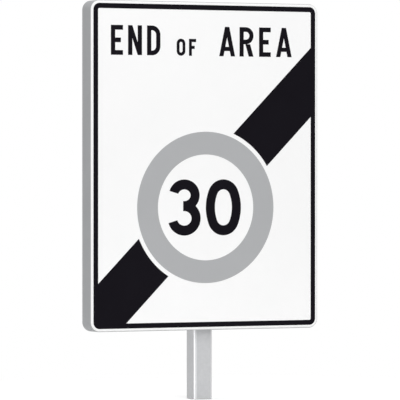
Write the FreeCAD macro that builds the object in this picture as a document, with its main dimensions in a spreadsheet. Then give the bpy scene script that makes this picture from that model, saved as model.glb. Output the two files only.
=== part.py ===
"""Speed zone end sign: a folded aluminium sign tray with a film face, clamped to a square steel post.

Millimetres, +Z up. The origin is on the post's axis at its foot, and the sign faces -Y.
"""
import FreeCAD, Part
import math
import os
from types import SimpleNamespace

import Sketcher

# Driving dimensions, in millimetres and degrees
SIZES = {
    # Sign tray
    "panel_width": 500,
    "panel_height": 650,
    "panel_depth": 40,
    "corner_radius": 19,
    "sheet_thickness": 2,
    "bend_radius": 1,
    # Film on the face
    "sheeting_thickness": 0.4,
    "film_thickness": 0.2,
    "border_margin": 6,
    "border_width": 10,
    "border_radius": 13,
    "border_inner_radius": 3,
    "ring_drop": 82,
    "ring_diameter": 300,
    "ring_bore": 210,
    "ring_gap": 8.4,
    "bar_width": 98,
    "bar_rise": 16,
    "bar_angle": 45,
    # Numerals, placed from the ring's centre
    "numeral_height": 111,
    "numeral_stroke": 19.7,
    "numeral_side_stroke": 19.9,
    "three_left": 47.3,
    "three_upper_width": 67.2,
    "three_lower_width": 71.4,
    "three_waist": 2.8,
    "three_arm": 2.5,
    "three_terminal_angle": 16,
    "zero_right": 38.7,
    "zero_width": 77.4,
    "zero_shoulder": 4,
    # Post and its cap
    "post_size": 40,
    "post_wall": 2,
    "post_radius": 5,
    "post_inner_radius": 3,
    "post_stub": 140,
    "post_drop": 40,
    "post_offset": 15,
    "cap_thickness": 3,
    "cap_edge": 1.5,
    "cap_skirt": 15,
    "cap_wall": 2,
    "cap_fit": 0.2,
    # Slotted rails across the tray's back
    "rail_inset": 125,
    "rail_end_gap": 30,
    "rail_proud": 1,
    "rail_foot": 50,
    "rail_wall": 2.5,
    "rail_lip": 3,
    "rail_fillet": 1.5,
    "chamber_clearance": 1.2,
    "head_clearance": 0.3,
    "shank_clearance": 0.5,
    # Clamp straps round the post
    "strap_width": 30,
    "strap_thickness": 4,
    "strap_fit": 0.3,
    "ear_bend": 3,
    "ear_gap": 1,
    "ear_margin": 12,
    "bolt_setoff": 14,
    # M8 fasteners
    "bolt_diameter": 8,
    "bolt_flats": 13,
    "bolt_head": 5.3,
    "bolt_tail": 3.9,
    "nut_height": 6.5,
    "nut_clearance": 0.1,
    "washer_diameter": 16,
    "washer_thickness": 1.6,
    "washer_clearance": 0.2,
}


class Size:
    """A number that keeps the spreadsheet formula it came from."""

    def __init__(self, value, text):
        self.value = float(value)
        self.text = text

    def __add__(self, other):
        return Size(self.value + number(other), f"({self.text} + {words(other)})")

    def __sub__(self, other):
        return Size(self.value - number(other), f"({self.text} - {words(other)})")

    def __mul__(self, other):
        return Size(self.value * number(other), f"({self.text} * {words(other)})")

    def __truediv__(self, other):
        return Size(self.value / number(other), f"({self.text} / {words(other)})")

    def __rmul__(self, other):
        return self * other

    def __neg__(self):
        return Size(-self.value, f"(-1 * {self.text})")


def number(item):
    return item.value if isinstance(item, Size) else float(item)


def words(item):
    return item.text if isinstance(item, Size) else repr(item)


def fill_sheet(doc):
    """Write each driving dimension in a cell of its own and return them all as sizes."""
    sheet = doc.addObject("Spreadsheet::Sheet", "Sizes")
    for row, (name, value) in enumerate(SIZES.items(), 1):
        sheet.set(f"A{row}", name)
        sheet.set(f"B{row}", str(value))
        sheet.setAlias(f"B{row}", name)
    doc.recompute()
    return SimpleNamespace(**{name: Size(value, f"Sizes.{name}") for name, value in SIZES.items()})


doc = FreeCAD.newDocument("SpeedZoneEndSign")
s = fill_sheet(doc)

# Shared places, worked out from the driving dimensions
BEND_OUTSIDE = s.bend_radius + s.sheet_thickness
# A bevel of this size touches the inside of the bend at its middle
INSIDE_BEVEL = s.bend_radius * (2 - math.sqrt(2))
RAIL_FACE_Y = -(s.post_size / 2)
TRAY_BACK_Y = RAIL_FACE_Y - s.rail_proud
FACE_X = -s.post_offset
FACE_Y = TRAY_BACK_Y - s.panel_depth
FACE_Z = s.post_stub + s.panel_height / 2
FILM_Y = FACE_Y - s.sheeting_thickness
RING_Z = FACE_Z - s.ring_drop
FIELD_MARGIN = s.border_margin + s.border_width
RAIL_HEIGHTS = {
    "upper": s.post_stub + s.panel_height - s.rail_inset,
    "lower": s.post_stub + s.rail_inset,
}
RAIL_LENGTH = s.panel_width - 2 * s.rail_end_gap
RAIL_DEPTH = s.panel_depth - s.sheet_thickness + s.rail_proud
CHAMBER_DEPTH = s.bolt_head + s.chamber_clearance
CHAMBER_WIDTH = s.bolt_flats + 2 * s.head_clearance
SHANK_HOLE = s.bolt_diameter + 2 * s.shank_clearance
POST_LENGTH = s.post_stub + s.panel_height - s.post_drop
STRAP_INSIDE = s.post_size / 2 + s.strap_fit
STRAP_OUTSIDE = STRAP_INSIDE + s.strap_thickness
BOLT_X = STRAP_OUTSIDE + s.bolt_setoff
EAR_END = BOLT_X + s.ear_margin
EAR_FRONT_Y = RAIL_FACE_Y + s.ear_gap
EAR_BACK_Y = EAR_FRONT_Y + s.strap_thickness
WASHER_BACK_Y = EAR_BACK_Y + s.washer_thickness
NUT_BACK_Y = WASHER_BACK_Y + s.nut_height
HEAD_BACK_Y = RAIL_FACE_Y - s.rail_lip

X_AXIS = FreeCAD.Vector(1, 0, 0)
Y_AXIS = FreeCAD.Vector(0, 1, 0)
FACING = FreeCAD.Rotation(X_AXIS, 90)
BACKWARD = FreeCAD.Rotation(X_AXIS, -90)
TOLERANCE = 1e-4


# Helpers for bound sizes, sketches and features


def bind(item, path, size):
    item.setExpression(path, words(size))


def place(item, x, y, z, rotation=None):
    """Put an object at bound coordinates, turned by a rotation if one is given."""
    item.Placement = FreeCAD.Placement(FreeCAD.Vector(), rotation or FreeCAD.Rotation())
    bind(item, "Placement.Base.x", x)
    bind(item, "Placement.Base.y", y)
    bind(item, "Placement.Base.z", z)


def new_body(label):
    body = doc.addObject("PartDesign::Body", label)
    body.Label = label
    return body


def new_sketch(body, role, name, offset=0):
    """A sketch on one of the body's own origin planes, moved along that plane's normal."""
    sketch = body.newObject("Sketcher::SketchObject", name)
    plane = next(item for item in body.Origin.OriginFeatures if item.Role == role)
    sketch.AttachmentSupport = [(plane, "")]
    sketch.MapMode = "FlatFace"
    bind(sketch, "AttachmentOffset.Base.z", offset)
    return sketch


def dimension(sketch, kind, geometry, size):
    """Add one dimension to a sketch and bind it to its formula."""
    index = sketch.addConstraint(Sketcher.Constraint(kind, *geometry, number(size)))
    bind(sketch, f"Constraints[{index}]", size)


def locate(sketch, line, end, x, y):
    """Fix a point of a sketch at bound distances from the sketch's origin."""
    for kind, axis, size in (("DistanceX", -2, x), ("DistanceY", -1, y)):
        if number(size) == 0:
            sketch.addConstraint(Sketcher.Constraint("PointOnObject", line, end, axis))
        else:
            dimension(sketch, kind, (-1, 1, line, end), size)


def draw_polygon(sketch, corners):
    """A closed outline of straight lines with every corner at a bound place."""
    points = [FreeCAD.Vector(number(x), number(y), 0) for x, y in corners]
    first = sketch.GeometryCount
    count = len(points)
    for index in range(count):
        sketch.addGeometry(Part.LineSegment(points[index], points[(index + 1) % count]))
    for index in range(count):
        following = first + (index + 1) % count
        sketch.addConstraint(Sketcher.Constraint("Coincident", first + index, 2, following, 1))
    for index, (x, y) in enumerate(corners):
        locate(sketch, first + index, 1, x, y)


def draw_circle(sketch, x, y, diameter):
    centre = FreeCAD.Vector(number(x), number(y), 0)
    line = sketch.addGeometry(Part.Circle(centre, FreeCAD.Vector(0, 0, 1), number(diameter) / 2))
    locate(sketch, line, 3, x, y)
    dimension(sketch, "Diameter", (line,), diameter)


def draw_rounded_rectangle(sketch, width, height, radius):
    """A rectangle round the sketch's origin whose corners are arcs of one radius."""
    half_x = number(width) / 2
    half_y = number(height) / 2
    round_x = half_x - number(radius)
    round_y = half_y - number(radius)
    first = sketch.GeometryCount
    sides = (
        ((-round_x, -half_y), (round_x, -half_y)),
        ((half_x, -round_y), (half_x, round_y)),
        ((round_x, half_y), (-round_x, half_y)),
        ((-half_x, round_y), (-half_x, -round_y)),
    )
    for start, end in sides:
        sketch.addGeometry(Part.LineSegment(FreeCAD.Vector(*start, 0), FreeCAD.Vector(*end, 0)))
    centres = ((round_x, -round_y), (round_x, round_y), (-round_x, round_y), (-round_x, -round_y))
    for quarter, centre in enumerate(centres):
        circle = Part.Circle(FreeCAD.Vector(*centre, 0), FreeCAD.Vector(0, 0, 1), number(radius))
        start = math.radians(90 * quarter - 90)
        sketch.addGeometry(Part.ArcOfCircle(circle, start, start + math.pi / 2))
    for corner in range(4):
        arc = first + 4 + corner
        sketch.addConstraint(Sketcher.Constraint("Tangent", first + corner, 2, arc, 1))
        sketch.addConstraint(Sketcher.Constraint("Tangent", arc, 2, first + (corner + 1) % 4, 1))
        direction = "Horizontal" if corner % 2 == 0 else "Vertical"
        sketch.addConstraint(Sketcher.Constraint(direction, first + corner))
    for corner in range(1, 4):
        sketch.addConstraint(Sketcher.Constraint("Equal", first + 4, first + 4 + corner))
    dimension(sketch, "Radius", (first + 4,), radius)
    dimension(sketch, "DistanceY", (-1, 1, first, 1), -(height / 2))
    dimension(sketch, "DistanceX", (-1, 1, first + 1, 1), width / 2)
    dimension(sketch, "DistanceY", (-1, 1, first + 2, 1), height / 2)
    dimension(sketch, "DistanceX", (-1, 1, first + 3, 1), -(width / 2))


def feature_from(kind, body, sketch, name, length, reverse):
    feature = body.newObject(f"PartDesign::{kind}", name)
    feature.Profile = sketch
    feature.Reversed = reverse
    bind(feature, "Length", length)
    doc.recompute()
    return feature


def pad(body, sketch, name, length, reverse=False):
    return feature_from("Pad", body, sketch, name, length, reverse)


def pocket(body, sketch, name, length, reverse=False):
    """Cut a pocket, and stop if it took nothing away."""
    before = body.Shape.Volume
    feature = feature_from("Pocket", body, sketch, name, length, reverse)
    if feature.Shape.Volume > before - TOLERANCE:
        raise RuntimeError(f"{body.Label}: {name} cuts nothing")
    return feature


def dress(kind, size_name, body, base, name, edges, size):
    feature = body.newObject(f"PartDesign::{kind}", name)
    feature.Base = (base, edges)
    bind(feature, size_name, size)
    doc.recompute()
    return feature


def fillet(body, base, name, edges, radius):
    return dress("Fillet", "Radius", body, base, name, edges, radius)


def chamfer(body, base, name, edges, size):
    return dress("Chamfer", "Size", body, base, name, edges, size)


def faces_on(feature, axis, size):
    """Names of the flat faces that lie wholly at one coordinate."""
    names = []
    for index, face in enumerate(feature.Shape.Faces, 1):
        ends = (getattr(face.BoundBox, f"{axis}Min"), getattr(face.BoundBox, f"{axis}Max"))
        if all(abs(end - number(size)) < TOLERANCE for end in ends):
            names.append(f"Face{index}")
    return names


def straight_edges(feature, along, places):
    """Names of the edges that run along one axis through given places on the other two."""
    across = [axis for axis in "XYZ" if axis != along]
    names = []
    for index, edge in enumerate(feature.Shape.Edges, 1):
        box = edge.BoundBox
        if any(getattr(box, f"{axis}Length") > TOLERANCE for axis in across):
            continue
        middle = [getattr(box.Center, axis.lower()) for axis in across]
        for spot in places:
            if all(abs(m - number(size)) < TOLERANCE for m, size in zip(middle, spot)):
                names.append(f"Edge{index}")
    return names


def both_sides(size):
    return (-size, size)


# Sign tray


def make_panel():
    """One sheet: the front, and its edge turned back all round with drawn corners."""
    body = new_body("panel")
    outline = new_sketch(body, "XZ_Plane", "panel_outline")
    draw_rounded_rectangle(outline, s.panel_width, s.panel_height, s.corner_radius)
    block = pad(body, outline, "panel_block", s.panel_depth, reverse=True)
    fillet(body, block, "panel_bend_outside", faces_on(block, "Y", 0), BEND_OUTSIDE)

    hollow = new_sketch(body, "XZ_Plane", "panel_hollow_outline", -s.panel_depth)
    draw_rounded_rectangle(
        hollow,
        s.panel_width - 2 * s.sheet_thickness,
        s.panel_height - 2 * s.sheet_thickness,
        s.corner_radius - s.sheet_thickness,
    )
    opened = pocket(body, hollow, "panel_hollow", s.panel_depth - s.sheet_thickness, reverse=True)
    inner_face = faces_on(opened, "Y", s.sheet_thickness)
    chamfer(body, opened, "panel_bend_inside", inner_face, INSIDE_BEVEL)
    place(body, FACE_X, FACE_Y, FACE_Z)
    return body


# Film on the face


def make_face_sheeting():
    """White film on the flat of the tray's front, up to where the edge starts to turn."""
    body = new_body("face_sheeting")
    outline = new_sketch(body, "XZ_Plane", "sheeting_outline")
    draw_rounded_rectangle(
        outline,
        s.panel_width - 2 * BEND_OUTSIDE,
        s.panel_height - 2 * BEND_OUTSIDE,
        s.corner_radius - BEND_OUTSIDE,
    )
    pad(body, outline, "sheeting_pad", s.sheeting_thickness)
    place(body, FACE_X, FACE_Y, FACE_Z)
    return body


def make_border_film():
    """Black line that follows the tray's outline."""
    body = new_body("border_film")
    outline = new_sketch(body, "XZ_Plane", "border_outline")
    draw_rounded_rectangle(
        outline,
        s.panel_width - 2 * s.border_margin,
        s.panel_height - 2 * s.border_margin,
        s.border_radius,
    )
    draw_field(outline)
    pad(body, outline, "border_pad", s.film_thickness)
    place(body, FACE_X, FILM_Y, FACE_Z)
    return body


def draw_field(sketch):
    """Outline of the white field inside the border."""
    draw_rounded_rectangle(
        sketch,
        s.panel_width - 2 * FIELD_MARGIN,
        s.panel_height - 2 * FIELD_MARGIN,
        s.border_inner_radius,
    )


def make_field():
    """The field inside the border as a film blank, which trims the bars to the border."""
    body = new_body("field_blank")
    outline = new_sketch(body, "XZ_Plane", "field_outline")
    draw_field(outline)
    pad(body, outline, "field_pad", s.film_thickness)
    place(body, FACE_X, FILM_Y, FACE_Z)
    return body


def make_disc():
    """The round blank that keeps the bars clear of the ring."""
    disc = doc.addObject("Part::Cylinder", "disc_blank")
    bind(disc, "Radius", s.ring_diameter / 2 + s.ring_gap)
    bind(disc, "Height", s.film_thickness)
    place(disc, FACE_X, FILM_Y, RING_Z, FACING)
    return disc


def make_bar_film(half, field, disc, direction):
    """Half of the diagonal bar, from the ring's gap to the border."""
    reach = direction * (s.panel_width + s.panel_height)
    strip = new_body(f"bar_strip_{half}")
    outline = new_sketch(strip, "XZ_Plane", f"bar_outline_{half}")
    near, far = both_sides(s.bar_width / 2)
    draw_polygon(outline, ((0, near), (reach, near), (reach, far), (0, far)))
    pad(strip, outline, f"bar_pad_{half}", s.film_thickness)
    slope = FreeCAD.Rotation(-Y_AXIS, number(s.bar_angle))
    place(strip, FACE_X, FILM_Y, RING_Z + s.bar_rise, slope)
    bind(strip, "Placement.Rotation.Angle", s.bar_angle)

    trimmed = doc.addObject("Part::MultiCommon", f"bar_trimmed_{half}")
    trimmed.Shapes = [strip, field]
    bar = doc.addObject("Part::Cut", f"bar_film_{half}")
    bar.Label = f"bar_film_{half}"
    bar.Base = trimmed
    bar.Tool = disc
    return bar


def make_ring_film():
    """Grey ring round the numerals."""
    body = new_body("ring_film")
    outline = new_sketch(body, "XZ_Plane", "ring_circles")
    draw_circle(outline, 0, 0, s.ring_diameter)
    draw_circle(outline, 0, 0, s.ring_bore)
    pad(body, outline, "ring_pad", s.film_thickness)
    place(body, FACE_X, FILM_Y, RING_Z)
    return body


def ellipse_face(centre_x, centre_y, half_width, half_height):
    """An ellipse with its axes level and upright, whichever of the two is longer."""
    centre = FreeCAD.Vector(centre_x, centre_y, 0)
    level = centre + FreeCAD.Vector(half_width, 0, 0)
    upright = centre + FreeCAD.Vector(0, half_height, 0)
    longer, shorter = (level, upright) if half_width >= half_height else (upright, level)
    return Part.Face(Part.Wire(Part.Ellipse(longer, shorter, centre).toShape()))


def oval_face(half_width, half_height, shoulder):
    """An upright oval of four tangent arcs; its end arcs are the shoulder smaller than its half width."""
    end_radius = half_width - shoulder
    end_y = half_height - end_radius
    side_radius = (half_width**2 + end_y**2 - end_radius**2) / (2 * shoulder)
    side_x = half_width - side_radius
    spread = math.hypot(side_x, end_y)
    join_x = -side_x / spread * end_radius
    join_y = end_y + end_y / spread * end_radius
    joins = [
        FreeCAD.Vector(join_x, join_y, 0),
        FreeCAD.Vector(-join_x, join_y, 0),
        FreeCAD.Vector(-join_x, -join_y, 0),
        FreeCAD.Vector(join_x, -join_y, 0),
    ]
    tops = [
        FreeCAD.Vector(0, half_height, 0),
        FreeCAD.Vector(-half_width, 0, 0),
        FreeCAD.Vector(0, -half_height, 0),
        FreeCAD.Vector(half_width, 0, 0),
    ]
    arcs = [Part.Arc(joins[i], tops[i], joins[(i + 1) % 4]).toShape() for i in range(4)]
    return Part.Face(Part.Wire(arcs))


def add_numeral(label, face, offset):
    """Film cut to a numeral's outline, laid on the sheeting beside the ring's centre."""
    film = doc.addObject("Part::Feature", label)
    film.Label = label
    film.Shape = face.extrude(FreeCAD.Vector(0, 0, number(s.film_thickness)))
    corner = FreeCAD.Vector(number(FACE_X + offset), number(FILM_Y), number(RING_Z))
    film.Placement = FreeCAD.Placement(corner, FACING)
    return film


def make_numeral_three():
    """Two round bowls with their counters, cut open on the left down to a short middle arm."""
    half = number(s.numeral_height) / 2
    stroke = number(s.numeral_stroke)
    side_stroke = number(s.numeral_side_stroke)
    waist = number(s.three_waist)
    bowls = []
    counters = []
    counter_heights = []
    for side, width in ((1, s.three_upper_width), (-1, s.three_lower_width)):
        bowl_end = side * half
        bowl_root = waist - side * stroke / 2
        counter_end = bowl_end - side * stroke
        counter_root = bowl_root + side * stroke
        middle = (bowl_end + bowl_root) / 2
        half_width = number(width) / 2
        bowls.append(ellipse_face(0, middle, half_width, abs(bowl_end - bowl_root) / 2))
        counter_middle = (counter_end + counter_root) / 2
        counter_half = abs(counter_end - counter_root) / 2
        counters.append(ellipse_face(0, counter_middle, half_width - side_stroke, counter_half))
        counter_heights.append(counter_middle)
    arm = -number(s.three_arm)
    reach = number(s.numeral_height)
    rise = reach * math.tan(math.radians(number(s.three_terminal_angle)))
    upper, lower = counter_heights
    corners = ((arm, upper), (arm - reach, upper + rise), (arm - reach, lower - rise), (arm, lower))
    mouth = Part.Face(Part.makePolygon([FreeCAD.Vector(*p, 0) for p in corners + corners[:1]]))
    outline = bowls[0].fuse(bowls[1]).removeSplitter().cut(counters + [mouth])
    return add_numeral("numeral_three_film", outline.Faces[0], -s.three_left)


def make_numeral_zero():
    """An upright oval with an oval counter."""
    half_width = number(s.zero_width) / 2
    half_height = number(s.numeral_height) / 2
    shoulder = number(s.zero_shoulder)
    outer = oval_face(half_width, half_height, shoulder)
    counter_width = half_width - number(s.numeral_side_stroke)
    counter = oval_face(counter_width, half_height - number(s.numeral_stroke), shoulder)
    return add_numeral("numeral_zero_film", outer.cut(counter).Faces[0], s.zero_right)


# Rails across the tray's back


def make_rail(side):
    """Extruded rail: a foot bonded to the sheet, a box, and a slotted chamber for the bolt heads."""
    body = new_body(f"rail_{side}")
    foot = s.rail_foot / 2
    chamber = CHAMBER_WIDTH / 2
    outer = chamber + s.rail_wall
    slot = SHANK_HOLE / 2
    lip = RAIL_DEPTH - s.rail_lip
    floor = lip - CHAMBER_DEPTH
    lower_half = (
        (0, -foot),
        (s.rail_wall, -foot),
        (s.rail_wall, -outer),
        (RAIL_DEPTH, -outer),
        (RAIL_DEPTH, -slot),
        (lip, -slot),
        (lip, -chamber),
        (floor, -chamber),
    )
    upper_half = tuple((depth, -height) for depth, height in reversed(lower_half))
    box_top = floor - s.rail_wall
    profile = new_sketch(body, "YZ_Plane", f"rail_profile_{side}")
    draw_polygon(profile, lower_half + upper_half)
    draw_polygon(
        profile,
        ((s.rail_wall, -chamber), (box_top, -chamber), (box_top, chamber), (s.rail_wall, chamber)),
    )
    bar = pad(body, profile, f"rail_pad_{side}", RAIL_LENGTH)
    roots = [(s.rail_wall, z) for z in both_sides(outer)]
    shoulders = [(RAIL_DEPTH, z) for z in both_sides(outer)]
    edges = straight_edges(bar, "X", roots + shoulders)
    fillet(body, bar, f"rail_fillets_{side}", edges, s.rail_fillet)
    place(body, FACE_X - RAIL_LENGTH / 2, FACE_Y + s.sheet_thickness, RAIL_HEIGHTS[side])
    return body


# Post


def make_post():
    """Square tube with rounded corners, sawn square at both ends."""
    body = new_body("post")
    section = new_sketch(body, "XY_Plane", "post_section")
    inside = s.post_size - 2 * s.post_wall
    draw_rounded_rectangle(section, s.post_size, s.post_size, s.post_radius)
    draw_rounded_rectangle(section, inside, inside, s.post_inner_radius)
    pad(body, section, "post_pad", POST_LENGTH)
    place(body, 0, 0, 0)
    return body


def make_post_cap():
    """Moulded cap: a flange with a bevelled top, and a hollow skirt pushed into the tube."""
    body = new_body("post_cap")
    flange = new_sketch(body, "XY_Plane", "cap_flange_outline")
    draw_rounded_rectangle(flange, s.post_size, s.post_size, s.post_radius)
    plate = pad(body, flange, "cap_flange", s.cap_thickness)
    bevelled = chamfer(body, plate, "cap_top", faces_on(plate, "Z", s.cap_thickness), s.cap_edge)
    skirt_size = s.post_size - 2 * s.post_wall - 2 * s.cap_fit
    skirt_inside = skirt_size - 2 * s.cap_wall
    skirt = new_sketch(body, "XY_Plane", "cap_skirt_outline")
    draw_rounded_rectangle(skirt, skirt_size, skirt_size, s.post_inner_radius)
    draw_rounded_rectangle(skirt, skirt_inside, skirt_inside, s.post_inner_radius)
    skirted = pad(body, skirt, "cap_skirt_pad", s.cap_skirt, reverse=True)
    if skirted.Shape.Volume < bevelled.Shape.Volume + TOLERANCE:
        raise RuntimeError("post_cap: the skirt adds nothing")
    place(body, 0, 0, POST_LENGTH)
    return body


# Clamps and their fasteners


def make_clamp(side):
    """Strap folded round the post's back and sides, with an ear on each side for its bolt."""
    body = new_body(f"clamp_{side}")
    back_inside = s.post_size / 2
    back_outside = back_inside + s.strap_thickness
    right_half = (
        (STRAP_INSIDE, back_inside),
        (STRAP_INSIDE, EAR_FRONT_Y),
        (EAR_END, EAR_FRONT_Y),
        (EAR_END, EAR_BACK_Y),
        (STRAP_OUTSIDE, EAR_BACK_Y),
        (STRAP_OUTSIDE, back_outside),
    )
    left_half = tuple((-x, y) for x, y in reversed(right_half))
    profile = new_sketch(body, "XY_Plane", f"clamp_profile_{side}")
    draw_polygon(profile, right_half + left_half)
    strap = pad(body, profile, f"clamp_pad_{side}", s.strap_width)

    def bend(name, base, x, y, radius):
        edges = straight_edges(base, "Z", [(end, y) for end in both_sides(x)])
        return fillet(body, base, f"{name}_{side}", edges, radius)

    shape = bend("back_bend_inside", strap, STRAP_INSIDE, back_inside, s.post_radius)
    outer_radius = s.post_radius + s.strap_thickness
    shape = bend("back_bend_outside", shape, STRAP_OUTSIDE, back_outside, outer_radius)
    shape = bend("ear_bend_inside", shape, STRAP_OUTSIDE, EAR_BACK_Y, s.ear_bend)
    shape = bend("ear_bend_outside", shape, STRAP_INSIDE, EAR_FRONT_Y, s.ear_bend + s.strap_thickness)

    holes = new_sketch(body, "XZ_Plane", f"clamp_holes_{side}", -EAR_FRONT_Y)
    for x in both_sides(BOLT_X):
        draw_circle(holes, x, s.strap_width / 2, SHANK_HOLE)
    pocket(body, holes, f"clamp_hole_pocket_{side}", s.strap_thickness)
    place(body, 0, 0, RAIL_HEIGHTS[side] - s.strap_width / 2)
    return body


def hexagon(name, height, x, y, z):
    """Hexagon with its axis along +Y and two flats facing up and down."""
    prism = doc.addObject("Part::Prism", name)
    prism.Polygon = 6
    bind(prism, "Circumradius", s.bolt_flats / math.sqrt(3))
    bind(prism, "Height", height)
    place(prism, x, y, z, BACKWARD)
    return prism


def rod(name, diameter, length, x, y, z):
    """Cylinder with its axis along +Y."""
    cylinder = doc.addObject("Part::Cylinder", name)
    bind(cylinder, "Radius", diameter / 2)
    bind(cylinder, "Height", length)
    place(cylinder, x, y, z, BACKWARD)
    return cylinder


def boolean(kind, name, base, tool):
    result = doc.addObject(f"Part::{kind}", name)
    result.Base = base
    result.Tool = tool
    return result


def make_bolt(name, x, z):
    head = hexagon(f"{name}_head", s.bolt_head, x, HEAD_BACK_Y - s.bolt_head, z)
    length = NUT_BACK_Y + s.bolt_tail - HEAD_BACK_Y
    shank = rod(f"{name}_shank", s.bolt_diameter, length, x, HEAD_BACK_Y, z)
    return boolean("Fuse", name, head, shank)


def make_washer(name, x, z):
    disc = rod(f"{name}_disc", s.washer_diameter, s.washer_thickness, x, EAR_BACK_Y, z)
    bore_size = s.bolt_diameter + 2 * s.washer_clearance
    bore = rod(f"{name}_bore", bore_size, s.washer_thickness, x, EAR_BACK_Y, z)
    return boolean("Cut", name, disc, bore)


def make_nut(name, x, z):
    block = hexagon(f"{name}_block", s.nut_height, x, WASHER_BACK_Y, z)
    bore_size = s.bolt_diameter + 2 * s.nut_clearance
    bore = rod(f"{name}_bore", bore_size, s.nut_height, x, WASHER_BACK_Y, z)
    return boolean("Cut", name, block, bore)


def make_group(label, kind, maker):
    """One fastener of a kind at each end of each clamp, kept together in one compound."""
    pieces = []
    for side, height in RAIL_HEIGHTS.items():
        for end, x in zip(("left", "right"), both_sides(BOLT_X)):
            pieces.append(maker(f"{kind}_{side}_{end}", x, height))
    group = doc.addObject("Part::Compound", label)
    group.Label = label
    group.Links = pieces
    return group


# The whole sign


def make_sign():
    field = make_field()
    disc = make_disc()
    nodes = [
        make_panel(),
        make_face_sheeting(),
        make_border_film(),
        make_bar_film("lower", field, disc, -1),
        make_bar_film("upper", field, disc, 1),
        make_ring_film(),
        make_numeral_three(),
        make_numeral_zero(),
        make_post(),
        make_post_cap(),
    ]
    for side in RAIL_HEIGHTS:
        nodes.append(make_rail(side))
        nodes.append(make_clamp(side))
    nodes.append(make_group("clamp_bolts", "bolt", make_bolt))
    nodes.append(make_group("clamp_washers", "washer", make_washer))
    nodes.append(make_group("clamp_nuts", "nut", make_nut))
    doc.recompute()
    return nodes


def check(nodes):
    """Stop if any object failed or any piece came out empty or invalid."""
    for item in doc.Objects:
        if "Invalid" in item.State or "Error" in item.State:
            raise RuntimeError(f"{item.Label} failed: {item.State}")
    for node in nodes:
        if node.Shape.isNull() or not node.Shape.isValid() or not node.Shape.Solids:
            raise RuntimeError(f"{node.Label} has no valid solid")


def write(nodes):
    os.makedirs("parts", exist_ok=True)
    for node in nodes:
        node.Shape.exportStep(f"parts/{node.Label}.step")
        solids = len(node.Shape.Solids)
        print(f"{node.Label}: {solids} solid(s), {node.Shape.Volume:.1f} cubic mm")


sign = make_sign()
check(sign)
write(sign)
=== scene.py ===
# %% [markdown]
# A speed zone end sign
#
# The real sign is a sheet of aluminium whose edge is turned back all round, like a shallow tray. White
# film covers its front, and the border, ring, bar and numerals are thinner films laid on that. Two slotted
# rails behind the sheet take bolts, and two straps clamp the rails to a square post.
#
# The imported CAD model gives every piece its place. This lesson keeps the flat films as they are, rebuilds
# the bent, turned and moulded pieces as smooth surfaces, and gives each piece the finish of the real one.

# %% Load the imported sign
import math

import bmesh
import bpy
import numpy as np
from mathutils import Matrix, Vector


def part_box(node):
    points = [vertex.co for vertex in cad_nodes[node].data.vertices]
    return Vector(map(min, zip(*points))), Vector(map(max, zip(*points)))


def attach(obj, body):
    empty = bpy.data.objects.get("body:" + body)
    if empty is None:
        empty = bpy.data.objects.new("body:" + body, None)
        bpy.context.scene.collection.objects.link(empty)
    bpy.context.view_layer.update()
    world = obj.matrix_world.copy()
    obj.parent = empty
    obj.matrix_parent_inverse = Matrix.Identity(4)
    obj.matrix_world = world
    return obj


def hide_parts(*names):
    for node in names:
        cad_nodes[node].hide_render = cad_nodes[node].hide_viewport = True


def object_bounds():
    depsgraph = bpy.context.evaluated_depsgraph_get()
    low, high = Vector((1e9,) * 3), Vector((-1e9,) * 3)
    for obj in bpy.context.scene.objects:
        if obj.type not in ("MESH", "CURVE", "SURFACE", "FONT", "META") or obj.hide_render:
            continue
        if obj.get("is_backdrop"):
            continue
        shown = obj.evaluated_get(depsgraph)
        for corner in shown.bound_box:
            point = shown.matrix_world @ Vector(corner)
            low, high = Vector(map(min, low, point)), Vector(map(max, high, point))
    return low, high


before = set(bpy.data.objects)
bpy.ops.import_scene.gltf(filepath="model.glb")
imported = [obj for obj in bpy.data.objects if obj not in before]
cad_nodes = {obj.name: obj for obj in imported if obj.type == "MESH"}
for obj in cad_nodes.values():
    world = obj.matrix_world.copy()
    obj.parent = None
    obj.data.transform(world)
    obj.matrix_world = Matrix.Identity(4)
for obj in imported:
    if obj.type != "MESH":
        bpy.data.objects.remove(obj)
cad_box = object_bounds()
print(f"{len(cad_nodes)} CAD nodes, box {[round(v, 4) for corner in cad_box for v in corner]}")

# %% [markdown]
# Places from the frame
#
# A rebuilt piece has to lie exactly where its CAD piece lies. Its place could be typed in again, but then a
# change to the model would leave it behind. So places are read from the boxes of the nodes, in millimetres,
# which suit pieces of this size better than Blender's metres.

# %% Read a node's box in millimetres
MM = 0.001


def box_mm(node):
    """A node's lowest and highest corners in millimetres, rounded to a thousandth."""
    return np.round(np.array(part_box(node)) / MM, 3)


panel_low, panel_high = box_mm("panel")
panel_size = panel_high - panel_low
panel_middle = (panel_low + panel_high) / 2
front_centre = np.array((panel_middle[0], panel_low[1], panel_middle[2]))
print(f"panel of {panel_size.tolist()} mm, its front centred at {front_centre.tolist()}")

# %% [markdown]
# The camera
#
# The picture was taken from the sign's left, level with the middle of its face, with a long lens. Such a
# view could be found by trial, but two measures in the picture give it. How much narrower the face looks
# than it is high gives the angle, and how much longer its near side looks than its far side gives the
# distance. A small turn of the camera, with no shift of the lens, then puts the sign where the picture has
# it.

# %% Aim the camera at the picture's own angle
VIEW_ANGLE = math.radians(25.84)
CAMERA_DISTANCE = 7.387
CAMERA_LENS = 335.4
AIM_LEFT = 0.0114
AIM_BELOW = 0.0673


def new_object(name, data):
    """An object at the origin that shows the given data, linked to the scene."""
    made = bpy.data.objects.new(name, data)
    bpy.context.scene.collection.objects.link(made)
    return made


def turn_towards(thing, target):
    """Turn a camera or a lamp, which looks along its own -Z, towards a point."""
    thing.rotation_mode = "QUATERNION"
    thing.rotation_quaternion = (target - thing.location).to_track_quat("-Z", "Y")


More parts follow.
